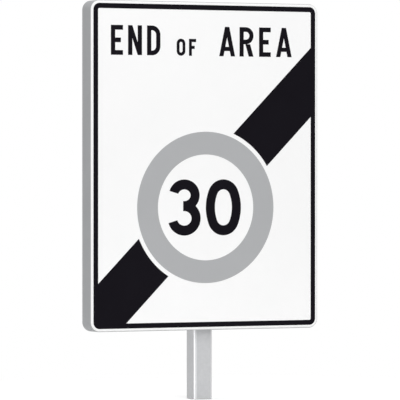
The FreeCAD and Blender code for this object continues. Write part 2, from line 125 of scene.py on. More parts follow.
face_centre = Vector(front_centre * MM)
sight = Vector((math.sin(VIEW_ANGLE), math.cos(VIEW_ANGLE), 0))
rightward = Vector((math.cos(VIEW_ANGLE), -math.sin(VIEW_ANGLE), 0))
upward = Vector((0, 0, 1))
camera = new_object("camera", bpy.data.cameras.new("camera"))
camera.data.lens = CAMERA_LENS
camera.location = face_centre - CAMERA_DISTANCE * sight
turn_towards(camera, face_centre - AIM_LEFT * rightward - AIM_BELOW * upward)
bpy.context.scene.camera = camera
bpy.context.scene.view_settings.view_transform = "Standard"
print(f"camera at {[round(v, 3) for v in camera.location]}")

# %% [markdown]
# Light
#
# A picture like this is lit evenly with soft lamps. A photograph of a studio could light it, but a few
# oblong lamps are easier to follow and to move. The large key lamp stands in front of the sign, above it and
# a little to its left, and a weak lamp fills from the right. A lamp overhead lights what faces upwards, and
# one at the left puts a highlight on the post's corner, made brighter by a painted highlight in its colour.

# %% Light the sign
LAMPS = {
    "key_lamp": {"power": 64, "wide": 2.2, "high": 2.2, "place": (-0.2, -3.6, 2.0)},
    "fill_lamp": {"power": 3, "wide": 1.6, "high": 1.6, "place": (1.75, -3.3, 0.25)},
    "top_lamp": {"power": 40, "wide": 2.0, "high": 2.0, "place": (-0.3, -0.4, 3.6)},
    "edge_lamp": {"power": 44, "wide": 2.8, "high": 1.1, "place": (-3.7, -0.32, 0.4)},
}


def add_lamp(name, power, wide, high, place):
    """A soft lamp with an oblong front that faces the middle of the sign, in watts and metres."""
    lamp = new_object(name, bpy.data.lights.new(name, "AREA"))
    lamp.data.shape = "RECTANGLE"
    lamp.data.energy = power
    lamp.data.size = wide
    lamp.data.size_y = high
    lamp.location = place
    lamp.visible_camera = False
    turn_towards(lamp, face_centre)


for lamp_name, lamp_values in LAMPS.items():
    add_lamp(lamp_name, **lamp_values)
print(f"{len(LAMPS)} lamps, {sum(values['power'] for values in LAMPS.values())} W in all")

# %% [markdown]
# A white background
#
# Behind the sign there is nothing but white, and light comes from all round. A single white world could give
# both, but it would be too much light for the sign. So the world is plain white where the camera looks at it
# and where metal mirrors it, and half as bright where it only lights the sign.


# %% Helpers for nodes
def add_node(tree, kind, settings=(), values=()):
    """A node with its settings made and its unlinked inputs filled in."""
    node = tree.nodes.new(f"ShaderNode{kind}")
    for setting, value in dict(settings).items():
        setattr(node, setting, value)
    for socket, value in dict(values).items():
        node.inputs[socket].default_value = value
    return node


def looked_at(tree):
    """A socket that is 1 for rays from the camera, a mirror or glass, and 0 for rays that carry light."""
    path = add_node(tree, "LightPath")
    seen = add_node(tree, "Math", {"operation": "MAXIMUM"})
    seen_or_through = add_node(tree, "Math", {"operation": "MAXIMUM"})
    tree.links.new(path.outputs["Is Camera Ray"], seen.inputs[0])
    tree.links.new(path.outputs["Is Glossy Ray"], seen.inputs[1])
    tree.links.new(seen.outputs[0], seen_or_through.inputs[0])
    tree.links.new(path.outputs["Is Transmission Ray"], seen_or_through.inputs[1])
    return seen_or_through.outputs[0]


print("two helpers: add_node and looked_at")

# %% A world that is white to look at and half as bright to light with
WHITE = (1, 1, 1, 1)
FILL_STRENGTH = 0.5

world = bpy.data.worlds.new("studio")
bpy.context.scene.world = world
world.use_nodes = True
tree = world.node_tree
tree.nodes.clear()
fill = add_node(tree, "Background", values={"Color": WHITE, "Strength": FILL_STRENGTH})
white = add_node(tree, "Background", values={"Color": WHITE})
blend = add_node(tree, "MixShader")
sky = add_node(tree, "OutputWorld")
tree.links.new(looked_at(tree), blend.inputs[0])
tree.links.new(fill.outputs[0], blend.inputs[1])
tree.links.new(white.outputs[0], blend.inputs[2])
tree.links.new(blend.outputs[0], sky.inputs["Surface"])
print(f"world: white to look at, {FILL_STRENGTH} to light with")

# %% [markdown]
# Surfaces from arrays
#
# The tray, post, cap and fasteners are bent, drawn, moulded and turned, so each is a section carried round a
# path. Cubes and cylinders with modifiers could stand in for them, but bevels meet badly at drawn corners
# and none makes a thread. Here each piece is a grid of points worked out with numpy, with rows along the
# section and columns round the path, so its faces follow from the size of the grid alone.


# %% Faces of a grid
def grid_faces(rows, columns, close_rows=False):
    """Faces of a grid whose columns close into a ring, and whose rows close as well if asked.

    Corner (row, column) is point row times columns plus column, and a face joins it to the next column,
    the next row and both.
    """
    row = np.arange(rows if close_rows else rows - 1)[:, None]
    column = np.arange(columns)[None, :]
    next_row = (row + 1) % rows
    next_column = (column + 1) % columns
    corners = (
        row * columns + column,
        row * columns + next_column,
        next_row * columns + next_column,
        next_row * columns + column,
    )
    return np.stack(np.broadcast_arrays(*corners), -1).reshape(-1, 4)


def faces_inward(points, faces):
    """True if the faces look inwards.

    Each face makes two tetrahedra with the middle of the points. Their volumes, corner a times the cross
    product of the next two corners, add up to a negative number if the faces look inwards.
    """
    a, b, c, d = np.moveaxis((points - points.mean(axis=0))[faces], 1, 0)
    return (a * np.cross(b, c) + a * np.cross(c, d)).sum() < 0


print(f"2 rings of 8 points give {len(grid_faces(2, 8))} faces")


# %% Meshes from grids
def add_piece(name, points, faces, flat_faces=()):
    """A mesh object at the origin, from points in millimetres: smooth faces, then faces that stay flat."""
    mesh = bpy.data.meshes.new(name)
    mesh.from_pydata((points * MM).tolist(), [], list(faces) + list(flat_faces))
    mesh.polygons.foreach_set("use_smooth", np.arange(len(mesh.polygons)) < len(faces))
    mesh.update()
    return new_object(name, mesh)


def add_rings(name, grids, closed):
    """One mesh from like grids of points, an array with the axes copy, row, column and coordinate.

    A closed section joins its last ring to its first. An open one has a flat face in its first ring and in
    its last. The points of copy k start at k times rows times columns.
    """
    copies, rows, columns = grids.shape[:3]
    start = np.arange(copies)[:, None, None] * rows * columns
    ring = np.arange(columns)
    faces = grid_faces(rows, columns, closed)
    rims = np.stack((ring[::-1], ring + (rows - 1) * columns))
    if faces_inward(grids[0].reshape(-1, 3), faces):
        faces = faces[:, ::-1]
        rims = rims[:, ::-1]
    all_faces = (faces + start).reshape(-1, 4).tolist()
    all_rims = [] if closed else (rims + start).reshape(-1, columns).tolist()
    return add_piece(name, grids.reshape(-1, 3), all_faces, all_rims)


def keep_number(piece, name, numbers):
    """Keep a number on each point of a piece, where its material can read it."""
    attribute = piece.data.attributes.new(name, "FLOAT", "POINT")
    attribute.data.foreach_set("value", numbers.ravel())


def settle(piece, material, slot, *replaced):
    """Finish a piece: its material, the body it rides and what it replaces. The slot is not used."""
    mesh = piece.data
    mesh.materials.clear()
    mesh.materials.append(material)
    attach(piece, "root")
    if replaced:
        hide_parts(*replaced)
    print(f"{piece.name}: {len(mesh.loops) - 2 * len(mesh.polygons)} triangles")


print("four helpers: add_piece, add_rings, keep_number and settle")

# %% [markdown]
# Effects that several finishes share
#
# Rolled sheet, film, plastic and zinc all vary a little from place to place. That could be painted as
# pictures, but a picture has seams and only so many pixels. Noise worked out by nodes has neither limit, and
# as it reads Object coordinates it stays on the piece from every side. Three effects are used by more than
# one material, so each is a node group with named sockets, built once.


# %% Helpers for node groups
def new_group(name, inputs, outputs):
    """A shader node group with number inputs, each with a usual value, and number outputs."""
    group = bpy.data.node_groups.new(name, "ShaderNodeTree")
    for socket, value in inputs.items():
        made = group.interface.new_socket(socket, in_out="INPUT", socket_type="NodeSocketFloat")
        made.default_value = value
    for socket in outputs:
        group.interface.new_socket(socket, in_out="OUTPUT", socket_type="NodeSocketFloat")
    given = group.nodes.new("NodeGroupInput")
    result = group.nodes.new("NodeGroupOutput")
    return group, given, result


def use_group(tree, group, values=()):
    """A node that places a group in a material, with this material's own values."""
    return add_node(tree, "Group", {"node_tree": group}, values)


print("two helpers: new_group and use_group")

# %% [markdown]
# Mottle, grain and crystals
#
# Coatings and rolled metal are cloudy, so the mottle spreads a soft noise between two values. Skins and
# drawn metal have a fine grain, which is a noise that can be drawn out along X or Z. Molten zinc freezes in
# crystals, each with a shade of its own. A Voronoi texture has just such cells, and a little noise added to
# the place makes their rims waver as real ones do.

# %% Soft mottle
mottle_group, given, result = new_group("soft_mottle", {"Scale": 30.0, "Low": 0.9, "High": 1.0}, ["Value"])
link = mottle_group.links.new
place = add_node(mottle_group, "TexCoord")
cloud = add_node(mottle_group, "TexNoise", values={"Detail": 4.0, "Roughness": 0.6})
spread = add_node(mottle_group, "MapRange", values={"From Min": 0.3, "From Max": 0.7})
link(place.outputs["Object"], cloud.inputs["Vector"])
link(given.outputs["Scale"], cloud.inputs["Scale"])
link(cloud.outputs["Fac"], spread.inputs["Value"])
link(given.outputs["Low"], spread.inputs["To Min"])
link(given.outputs["High"], spread.inputs["To Max"])
link(spread.outputs["Result"], result.inputs["Value"])
print("soft_mottle: noise spread between a low and a high value")

# %% Fine grain
GRAIN_INPUTS = {"Scale": 900.0, "Along X": 1.0, "Along Z": 1.0}

grain_group, given, result = new_group("fine_grain", GRAIN_INPUTS, ["Height"])
link = grain_group.links.new
place = add_node(grain_group, "TexCoord")
stretch = add_node(grain_group, "CombineXYZ", values={"Y": 1.0})
scaled = add_node(grain_group, "VectorMath", {"operation": "MULTIPLY"})
grain = add_node(grain_group, "TexNoise", values={"Detail": 2.0, "Roughness": 0.5})
link(given.outputs["Along X"], stretch.inputs["X"])
link(given.outputs["Along Z"], stretch.inputs["Z"])
link(place.outputs["Object"], scaled.inputs[0])
link(stretch.outputs["Vector"], scaled.inputs[1])
link(scaled.outputs["Vector"], grain.inputs["Vector"])
link(given.outputs["Scale"], grain.inputs["Scale"])
link(grain.outputs["Fac"], result.inputs["Height"])
print("fine_grain: noise that can be drawn out along X or Z")

# %% Zinc crystals
ZINC_INPUTS = {"Scale": 110.0, "Waver": 0.004}

zinc_group, given, result = new_group("zinc_crystals", ZINC_INPUTS, ["Shade", "Edge"])
link = zinc_group.links.new
place = add_node(zinc_group, "TexCoord")
waver = add_node(zinc_group, "TexNoise", values={"Scale": 60.0, "Detail": 2.0})
shifted = add_node(zinc_group, "VectorMath", {"operation": "MULTIPLY_ADD"})
cells = add_node(zinc_group, "TexVoronoi", {"feature": "F1"})
rims = add_node(zinc_group, "TexVoronoi", {"feature": "DISTANCE_TO_EDGE"})
tone = add_node(zinc_group, "SeparateColor")
link(place.outputs["Object"], waver.inputs["Vector"])
link(waver.outputs["Color"], shifted.inputs[0])
link(given.outputs["Waver"], shifted.inputs[1])
link(place.outputs["Object"], shifted.inputs[2])
for crystals in (cells, rims):
    link(shifted.outputs["Vector"], crystals.inputs["Vector"])
    link(given.outputs["Scale"], crystals.inputs["Scale"])
link(cells.outputs["Color"], tone.inputs["Color"])
link(tone.outputs["Red"], result.inputs["Shade"])
link(rims.outputs["Distance"], result.inputs["Edge"])
print("zinc_crystals: a shade for each crystal and the distance to its rim")

# %% [markdown]
# Materials
#
# No real surface is one colour all over, and none is equally glossy. Each material could be wired from
# nothing, but they all share the same base, so one helper makes it: two colours mixed by the mottle, and a
# roughness that varies on a finer scale. What is the same all over a piece is set on the shader itself.

# %% Helpers for materials
FINER = 2.3


def new_finish(name, dark, light, mottle, roughness, metallic=0.0, specular=0.5):
    """A material whose colour runs from dark to light and whose roughness runs between two values."""
    material = bpy.data.materials.new(name)
    material.use_nodes = True
    tree = material.node_tree
    shader = tree.nodes["Principled BSDF"]
    shader.inputs["Metallic"].default_value = metallic
    shader.inputs["Specular IOR Level"].default_value = specular
    colour = add_node(tree, "Mix", {"data_type": "RGBA", "name": "colour"})
    colour.inputs["A"].default_value = (*dark, 1)
    colour.inputs["B"].default_value = (*light, 1)
    tint = use_group(tree, mottle_group, {"Scale": mottle, "Low": 0.0, "High": 1.0})
    tint.name = "tint"
    low, high = roughness
    gloss = use_group(tree, mottle_group, {"Scale": mottle * FINER, "Low": low, "High": high})
    tree.links.new(tint.outputs["Value"], colour.inputs["Factor"])
    tree.links.new(colour.outputs["Result"], shader.inputs["Base Color"])
    tree.links.new(gloss.outputs["Value"], shader.inputs["Roughness"])
    return material


def add_bump(material, height, strength, distance):
    """Raise the surface by a height between 0 and 1 times a distance in metres."""
    tree = material.node_tree
    bump = add_node(tree, "Bump", values={"Strength": strength, "Distance": distance})
    tree.links.new(height, bump.inputs["Height"])
    tree.links.new(bump.outputs["Normal"], tree.nodes["Principled BSDF"].inputs["Normal"])


def blend_in(material, number, second):
    """Blend a second colour into a finish by a number that is kept on each point of the mesh."""
    tree = material.node_tree
    share = add_node(tree, "Attribute", {"attribute_name": number})
    blend = add_node(tree, "Mix", {"data_type": "RGBA"})
    blend.inputs["B"].default_value = (*second, 1)
    tree.links.new(share.outputs["Fac"], blend.inputs["Factor"])
    tree.links.new(tree.nodes["colour"].outputs["Result"], blend.inputs["A"])
    tree.links.new(blend.outputs["Result"], tree.nodes["Principled BSDF"].inputs["Base Color"])


print("three helpers: new_finish, add_bump and blend_in")

# %% [markdown]
# Coated sheet
#
# The tray has a grey coating with the faint orange peel of sprayed paint, and the white of the face goes a
# little way round its front bend. Two materials could share the tray, but then the line between them would
# be a hard one along the faces. A number kept on each point, front_coat, lets one colour run into the other.

# %% Coated sheet of the tray
coated_sheet = new_finish(
    "coated_sheet",
    dark=(0.300, 0.305, 0.314),
    light=(0.318, 0.323, 0.332),
    mottle=14.0,
    roughness=(0.42, 0.50),
    specular=0.35,
)
blend_in(coated_sheet, "front_coat", second=(0.86, 0.86, 0.86))
peel = use_group(coated_sheet.node_tree, grain_group, {"Scale": 420.0})
add_bump(coated_sheet, peel.outputs["Height"], strength=0.12, distance=0.0002)
print("coated_sheet: grey coating with a faint orange peel, white round the front bend")

# %% [markdown]
# Film
#
# White retroreflective film holds tiny beads or prisms in cells, sealed along the lines of a diamond net.
# The net could be modelled, but it is only a twentieth of a millimetre high, so a bump is enough. A Voronoi
# texture with no randomness is a square net, and a Mapping node lays it on the upright face and turns it by
# an eighth of a turn. Black and grey film have no net, only a smooth satin skin.

# %% White film
white_film = new_finish(
    "white_film",
    dark=(0.915, 0.915, 0.915),
    light=(0.93, 0.93, 0.93),
    mottle=9.0,
    roughness=(0.38, 0.46),
    specular=0.3,
)
NET = {"feature": "DISTANCE_TO_EDGE", "voronoi_dimensions": "2D"}

tree = white_film.node_tree
place = add_node(tree, "TexCoord")
upright = add_node(tree, "Mapping", values={"Rotation": (math.pi / 2, 0, math.pi / 4)})
net = add_node(tree, "TexVoronoi", NET, {"Scale": 220.0, "Randomness": 0.0})
cell = add_node(tree, "MapRange", values={"From Max": 0.08})
tree.links.new(place.outputs["Object"], upright.inputs["Vector"])
tree.links.new(upright.outputs["Vector"], net.inputs["Vector"])
tree.links.new(net.outputs["Distance"], cell.inputs["Value"])
add_bump(white_film, cell.outputs["Result"], strength=0.05, distance=0.00005)
print("white_film: cells in a diamond net")


# %% Black and grey film
def new_plain_film(name, dark, light, roughness, specular):
    """Film with a satin skin, which is a very fine grain."""
    film = new_finish(name, dark, light, mottle=12.0, roughness=roughness, specular=specular)
    skin = use_group(film.node_tree, grain_group, {"Scale": 700.0})
    add_bump(film, skin.outputs["Height"], strength=0.06, distance=0.0001)
    return film


black_film = new_plain_film(
    "black_film",
    dark=(0.0036, 0.0027, 0.0052),
    light=(0.0046, 0.0037, 0.0064),
    roughness=(0.46, 0.56),
    specular=0.05,
)
grey_film = new_plain_film(
    "grey_film",
    dark=(0.402, 0.408, 0.418),
    light=(0.414, 0.420, 0.430),
    roughness=(0.42, 0.52),
    specular=0.2,
)
print("black_film and grey_film: satin skins")

# %% [markdown]
# Extruded aluminium
#
# A rail is pushed through a die, which leaves fine lines along its length. They could be cut into the mesh,
# but they are hundredths of a millimetre deep, so they are the fine grain, drawn out along X.

# %% Extruded aluminium of the rails
mill_aluminium = new_finish(
    "mill_aluminium",
    dark=(0.62, 0.62, 0.63),
    light=(0.72, 0.72, 0.73),
    mottle=25.0,
    roughness=(0.30, 0.42),
    metallic=1.0,
)
drawn = use_group(mill_aluminium.node_tree, grain_group, {"Scale": 1400.0, "Along X": 0.006})
add_bump(mill_aluminium, drawn.outputs["Height"], strength=0.25, distance=0.0001)
print("mill_aluminium: die lines along the rail")

# %% [markdown]
# Zinc on steel
#
# The post and straps were dipped in molten zinc and the fasteners were plated with it. A plain metal would
# look like chrome or like grey paint, because what makes zinc look like zinc is that each crystal has its
# own shade. So the crystals take the place of the mottle, and their rims are slightly sunk. Plating has
# crystals too small to see, so there they only break up the gloss. The post's rounded corners get a painted
# highlight, a lighter colour that stands in for the light they catch. A node could look for sharp bends, but
# what it finds depends on the mesh, so here too a number kept on each point says where.


# %% Zinc finishes
def new_zinc(name, dark, light, crystals, roughness, metallic):
    """Zinc coat: each crystal has its own shade, and the crystals' rims are slightly sunk."""
    zinc = new_finish(name, dark, light, mottle=40.0, roughness=roughness, metallic=metallic)
    tree = zinc.node_tree
    spangle = use_group(tree, zinc_group, {"Scale": crystals})
    tree.nodes.remove(tree.nodes["tint"])
    tree.links.new(spangle.outputs["Shade"], tree.nodes["colour"].inputs["Factor"])
    rim = add_node(tree, "MapRange", values={"From Max": 0.12})
    tree.links.new(spangle.outputs["Edge"], rim.inputs["Value"])
    add_bump(zinc, rim.outputs["Result"], strength=0.08, distance=0.0001)
    return zinc


zinc_post = new_zinc(
    "zinc_post",
    dark=(0.439, 0.443, 0.453),
    light=(0.461, 0.465, 0.475),
    crystals=210.0,
    roughness=(0.40, 0.45),
    metallic=0.9,
)
# Painted highlight: the post's corners take a lighter colour that stands in for the light they catch.
blend_in(zinc_post, "highlighted", second=(0.580, 0.585, 0.595))
zinc_strap = new_zinc(
    "zinc_strap",
    dark=(0.46, 0.47, 0.49),
    light=(0.58, 0.59, 0.61),
    crystals=240.0,
    roughness=(0.40, 0.55),
    metallic=0.85,
)
zinc_plate = new_zinc(
    "zinc_plate",
    dark=(0.62, 0.62, 0.63),
    light=(0.72, 0.72, 0.73),
    crystals=900.0,
    roughness=(0.24, 0.34),
    metallic=1.0,
)
print("zinc_post, zinc_strap and zinc_plate")

# %% [markdown]
# Moulded plastic
#
# The cap is black polyethylene, and its mould was spark eroded, which leaves an even fine grain on every
# face. A displaced mesh could show it, but the grain is finer than any mesh needs to be, so it is a bump.

# %% Moulded plastic of the cap
moulded_cap = new_finish(
    "moulded_cap",
    dark=(0.022, 0.022, 0.024),
    light=(0.034, 0.034, 0.036),
    mottle=60.0,
    roughness=(0.48, 0.60),
    specular=0.4,
)
spark = use_group(moulded_cap.node_tree, grain_group, {"Scale": 1600.0})
add_bump(moulded_cap, spark.outputs["Height"], strength=0.2, distance=0.00015)
print("moulded_cap: black plastic with a spark-eroded grain")

# %% [markdown]
# Films that stay as the CAD has them
#
# The films of the face are cut by a knife, so they are flat with plain edges. They could be built again as
# curves, but the CAD outlines are already finer than the eye can see, so they only need their finish.

# %% Finish the films
FILMS = {
    "face_sheeting": white_film,
    "border_film": black_film,
    "bar_film_lower": black_film,
    "bar_film_upper": black_film,
    "ring_film": grey_film,
    "numeral_three_film": black_film,
    "numeral_zero_film": black_film,
}
for node, film in FILMS.items():
    cad_nodes[node].data.materials.clear()
    cad_nodes[node].data.materials.append(film)
print(f"{len(FILMS)} films finished")

# %% [markdown]
# The tray
#
# A press turns the edge of the sheet back and draws its corners round. The section is the same all the way
# round: front, bend, edge, cut end, and back inside to the sheet. A box with a bevel and a Solidify
# modifier could make it, but the sheet would come out uneven at the corners. So the section is carried
# round a rounded rectangle. A ring set in by some distance has corners smaller by that distance, which
# keeps the sheet's thickness even.


# %% Sections and rings
def arc(centre, radius, start, end, steps):
    """Points on a circle, its centre plus radius times cosine and sine, between two angles in degrees."""
    turn = np.radians(np.linspace(start, end, steps + 1))
    return np.stack((centre[0] + radius * np.cos(turn), centre[1] + radius * np.sin(turn)), -1)


def stack_rings(half_across, half_along, corner, level, steps, stay):
    """Rounded rectangles, one for each level, as a grid of points across, along and up.

    Round a corner, a point is the corner's centre plus its radius times the cosine and sine of the angle.
    One more point stands a little way along each straight side, so that the side is shaded flat.
    """
    angle = np.linspace(0, np.pi / 2, steps + 1)
    angle = np.concatenate((angle[:1], angle, angle[-1:]))
    turn = (np.arange(4)[:, None] * np.pi / 2 + angle).ravel()
    aside = np.tile(np.concatenate(([-stay], np.zeros(steps + 1), [stay])), 4)
    sign_across = np.repeat([1, -1, -1, 1], len(angle))
    sign_along = np.repeat([1, 1, -1, -1], len(angle))
    radius = corner[:, None]
    across = sign_across * (half_across[:, None] - radius) + radius * np.cos(turn) - aside * np.sin(turn)
    along = sign_along * (half_along[:, None] - radius) + radius * np.sin(turn) + aside * np.cos(turn)
    return np.stack(np.broadcast_arrays(across, along, level[:, None]), -1)


print(f"a quarter circle in 4 steps has {len(arc((0, 0), 1, 0, 90, 4))} points")

# %% The tray's section
SHEET = 2.0
BEND = 1.0
CUT_EASE = 0.35
SUPPORT = 0.6
BEND_STEPS = 12
INNER_BEND_STEPS = 8
EASE_STEPS = 4

outside = SHEET + BEND
cut = panel_size[1] - CUT_EASE
section = np.concatenate(
    (
        [(outside + SUPPORT, 0)],
        arc((outside, outside), outside, 270, 180, BEND_STEPS),
        [(0, outside + SUPPORT), (0, cut - SUPPORT)],
        arc((CUT_EASE, cut), CUT_EASE, 180, 90, EASE_STEPS),
        arc((SHEET - CUT_EASE, cut), CUT_EASE, 90, 0, EASE_STEPS),
        [(SHEET, cut - SUPPORT), (SHEET, outside + SUPPORT)],
        arc((outside, outside), BEND, 180, 270, INNER_BEND_STEPS),
        [(outside + SUPPORT, SHEET)],
    )
)
inset, depth = section.T
print(f"tray section of {len(section)} points, {inset.max()} mm in from the edge, {depth.max()} mm deep")

# %% Carry the section round the tray
TRAY_CORNER = 19.0
TRAY_CORNER_STEPS = 24
TRAY_STAY = 2.0

half_wide, _, half_high = panel_size / 2
rings = stack_rings(
    half_wide - inset, half_high - inset, TRAY_CORNER - inset, depth, TRAY_CORNER_STEPS, TRAY_STAY
)
across_back_up = rings[..., [0, 2, 1]]
tray = add_rings("sign_tray", (across_back_up + front_centre)[None], closed=False)
settle(tray, coated_sheet, "tray_aluminium", "panel")

# %% Mark how far the white coat goes round the bend
COAT_WHOLE = 0.10
COAT_GONE = 0.40

coat_share = np.clip((COAT_GONE * outside - depth) / ((COAT_GONE - COAT_WHOLE) * outside), 0, 1)
keep_number(tray, "front_coat", np.repeat(coat_share, rings.shape[1]))
print(f"white coat on {np.count_nonzero(coat_share)} of the tray's {len(coat_share)} rings")

# %% [markdown]
# The post
#
# The post is a welded square tube, sawn square at its ends, with the saw's edges eased by a file. Two boxes
# and a boolean could make it, but the eased ends would then need bevels of their own. Its wall is a closed
# section with those edges already on it, so the same rings make a surface that closes both ways.

# %% Build the post
POST_CORNER = 5.0
POST_WALL = 2.0
SAW_EASE = 0.3
SAW_SUPPORT = 1.0
POST_CORNER_STEPS = 16
POST_STAY = 1.0

post_low, post_high = box_mm("post")
post_half = post_high[0]
post_foot = post_low[2]
post_top = post_high[2]
bore_ease = POST_WALL - SAW_EASE
section = np.concatenate(
    (
        arc((SAW_EASE, post_foot + SAW_EASE), SAW_EASE, 270, 180, EASE_STEPS),
        [(0, post_foot + SAW_SUPPORT), (0, post_top - SAW_SUPPORT)],
        arc((SAW_EASE, post_top - SAW_EASE), SAW_EASE, 180, 90, EASE_STEPS),
        arc((bore_ease, post_top - SAW_EASE), SAW_EASE, 90, 0, EASE_STEPS),
        [(POST_WALL, post_top - SAW_SUPPORT), (POST_WALL, post_foot + SAW_SUPPORT)],
        arc((bore_ease, post_foot + SAW_EASE), SAW_EASE, 0, -90, EASE_STEPS),
    )
)
inset, level = section.T
half = post_half - inset
rings = stack_rings(half, half, POST_CORNER - inset, level, POST_CORNER_STEPS, POST_STAY)
post = add_rings("square_post", rings[None], closed=True)
settle(post, zinc_post, "galvanised_post", "post")

# %% Mark where the post's corners get a painted highlight
# Round a corner the share is twice the sine of twice the angle, no more than 1. On the eased ends it fades.
HIGHLIGHT_RISE = 2.0

quarter = np.linspace(0, np.pi / 2, POST_CORNER_STEPS + 1)
corner_share = np.clip(HIGHLIGHT_RISE * np.sin(2 * quarter), 0, 1)
round_share = np.tile(np.pad(corner_share, 1), 4)
outer_share = np.clip(1 - inset / SAW_EASE, 0, 1)
keep_number(post, "highlighted", np.outer(outer_share, round_share))
print(f"corners rubbed bright at {np.count_nonzero(corner_share == 1)} of {len(quarter)} points each")

# %% [markdown]
# The post's cap
#
# The cap is a moulding: a flange with a rounded top edge lies on the end of the tube, and a hollow skirt
# grips it inside. It could be two pieces joined by a boolean, but one section runs over both: across the
# top, round its edge, down outside the skirt, and up inside it.

# %% Build the post's cap
CAP_ROUND = 1.5
CAP_ROUND_STEPS = 8
TOP_MARGIN = 3.0
FLANGE_EASE = 0.2
SKIRT_FIT = 0.2
SKIRT_WALL = 2.0
SKIRT_LEAD = 0.5
CAP_CORNER_STEPS = 12
CAP_STAY = 0.5

cap_low, cap_high = box_mm("post_cap")
skirt_end = cap_low[2]
cap_top = cap_high[2]
skirt_half = post_half - POST_WALL - SKIRT_FIT
hollow_half = skirt_half - SKIRT_WALL
flange = np.concatenate(
    (
        [(CAP_ROUND + TOP_MARGIN, cap_top), (CAP_ROUND + SUPPORT, cap_top)],
        arc((CAP_ROUND, cap_top - CAP_ROUND), CAP_ROUND, 90, 180, CAP_ROUND_STEPS),
        [(0, post_top + FLANGE_EASE), (FLANGE_EASE, post_top)],
    )
)
skirt = np.array(
    [
        (skirt_half, post_top),
        (skirt_half, post_top - SUPPORT),
        (skirt_half, skirt_end + SKIRT_LEAD),
        (skirt_half - SKIRT_LEAD, skirt_end),
        (hollow_half, skirt_end),
        (hollow_half, skirt_end + SUPPORT),
        (hollow_half, post_top - SUPPORT),
        (hollow_half, post_top),
    ]
)
half = np.concatenate((post_half - flange[:, 0], skirt[:, 0]))
corner = np.concatenate((POST_CORNER - flange[:, 0], np.full(len(skirt), POST_CORNER - POST_WALL)))
level = np.concatenate((flange[:, 1], skirt[:, 1]))
rings = stack_rings(half, half, corner, level, CAP_CORNER_STEPS, CAP_STAY)
settle(add_rings("post_end_cap", rings[None], closed=False), moulded_cap, "cap_plastic", "post_cap")

# %% [markdown]
# Fasteners
#
# Four M8 bolts slide in the rails' slots, and a washer and a nut on each pull a strap tight. They could be
# cylinders with six or many sides, but a real hexagon has a chamfer that meets its flats in curved lines.
# So each fastener is a radius that changes both round its axis and along it, and one array holds all four.

# %% Shapes turned round an axis
AROUND = 96
WASHER_RADIUS = 8.0

washer_low, washer_high = box_mm("clamp_washers")
bolt_aside = washer_high[0] - WASHER_RADIUS
strap_heights = [box_mm(strap)[:, 2].mean() for strap in ("clamp_lower", "clamp_upper")]
bolt_x = np.tile((-bolt_aside, bolt_aside), len(strap_heights))
bolt_z = np.repeat(strap_heights, 2)
round_angle = np.arange(AROUND) * 2 * np.pi / AROUND
no_turn = np.zeros(len(bolt_x))


def turned_points(radius, level, turn):
    """Points round the Y axis: the bolt's place plus the radius times the cosine and sine of the angle.

    The radius has a row for each level and a column for each angle, and each copy has a turn of its own.
    """
    angle = round_angle + turn[:, None, None]
    x = bolt_x[:, None, None] + radius * np.cos(angle)
    z = bolt_z[:, None, None] + radius * np.sin(angle)
    return np.stack(np.broadcast_arrays(x, level[:, None], z), -1)


print(f"bolts at x {bolt_x.round(3).tolist()}, z {bolt_z.tolist()}")

# %% [markdown]
# The bolts
#
# A hexagon's radius is half its width over the flats, divided by the cosine of the angle from the nearest
# flat, and the chamfer is the smaller of that and a cone. A thread could be a Screw modifier, but it would
# have to be joined to the shank. Here it is part of the same radius: a ridge that moves on by one pitch in
# each turn, fades in from the plain shank and runs out at the tip.

# %% A bolt's hexagon head
FLATS = 13.0
HEAD_HEIGHT = 5.3
CHAMFER_RADIUS = 6.2
CHAMFER_SLOPE = math.tan(math.radians(60))
CHAMFER_RISE = np.linspace(0, 0.8, 9)
HEAD_SUPPORT = 0.1

bolt_low, bolt_high = box_mm("clamp_bolts")
head_front = bolt_low[1]
head_back = head_front + HEAD_HEIGHT
from_flat = (round_angle + np.pi / 2) % (np.pi / 3)
from_flat = np.minimum(from_flat, np.pi / 3 - from_flat)
hexagon = FLATS / 2 / np.cos(from_flat)
head_level = np.concatenate((head_front + CHAMFER_RISE, [head_back - HEAD_SUPPORT, head_back]))
cone = CHAMFER_RADIUS + (head_level - head_front) * CHAMFER_SLOPE
head_radius = np.minimum(hexagon, cone[:, None])
print(f"head {head_radius.max() * 2:.2f} mm over its corners, from y {head_front} to {head_back:.1f}")

# %% A bolt's shank and thread
SHANK_RADIUS = 4.0
SHANK_SUPPORT = 0.4
PITCH = 1.25
THREAD_DEPTH = 0.7
THREAD_LENGTH = 13.0
THREAD_STEPS = 104
THREAD_GAP = 0.2
FLANK_SLOPE = 1.5
CREST = 0.2
TIP_CHAMFER = 0.8

bolt_end = bolt_high[1]
thread_start = bolt_end - THREAD_LENGTH
thread_level = np.linspace(thread_start, bolt_end, THREAD_STEPS + 1)
wave = (thread_level[:, None] / PITCH + round_angle / (2 * np.pi)) % 1
groove = np.clip(np.abs(2 * wave - 1) * FLANK_SLOPE - CREST, 0, 1)
fade_in = np.clip((thread_level - thread_start) / PITCH, 0, 1)[:, None]
tip = np.minimum(1, (bolt_end - thread_level) / TIP_CHAMFER)[:, None]
thread_radius = SHANK_RADIUS - THREAD_DEPTH * np.maximum(fade_in * groove, 1 - tip)
plain_level = np.array((head_back, head_back + SHANK_SUPPORT, thread_start - THREAD_GAP))
plain_radius = np.full((len(plain_level), AROUND), SHANK_RADIUS)
print(f"{THREAD_LENGTH / PITCH:.1f} turns of thread, tip at y {bolt_end}")

# %% Build the bolts
bolt_radius = np.concatenate((head_radius, plain_radius, thread_radius))
bolt_level = np.concatenate((head_level, plain_level, thread_level))
bolts = add_rings("hex_bolts", turned_points(bolt_radius, bolt_level, no_turn), closed=False)
settle(bolts, zinc_plate, "zinc_fasteners", "clamp_bolts")

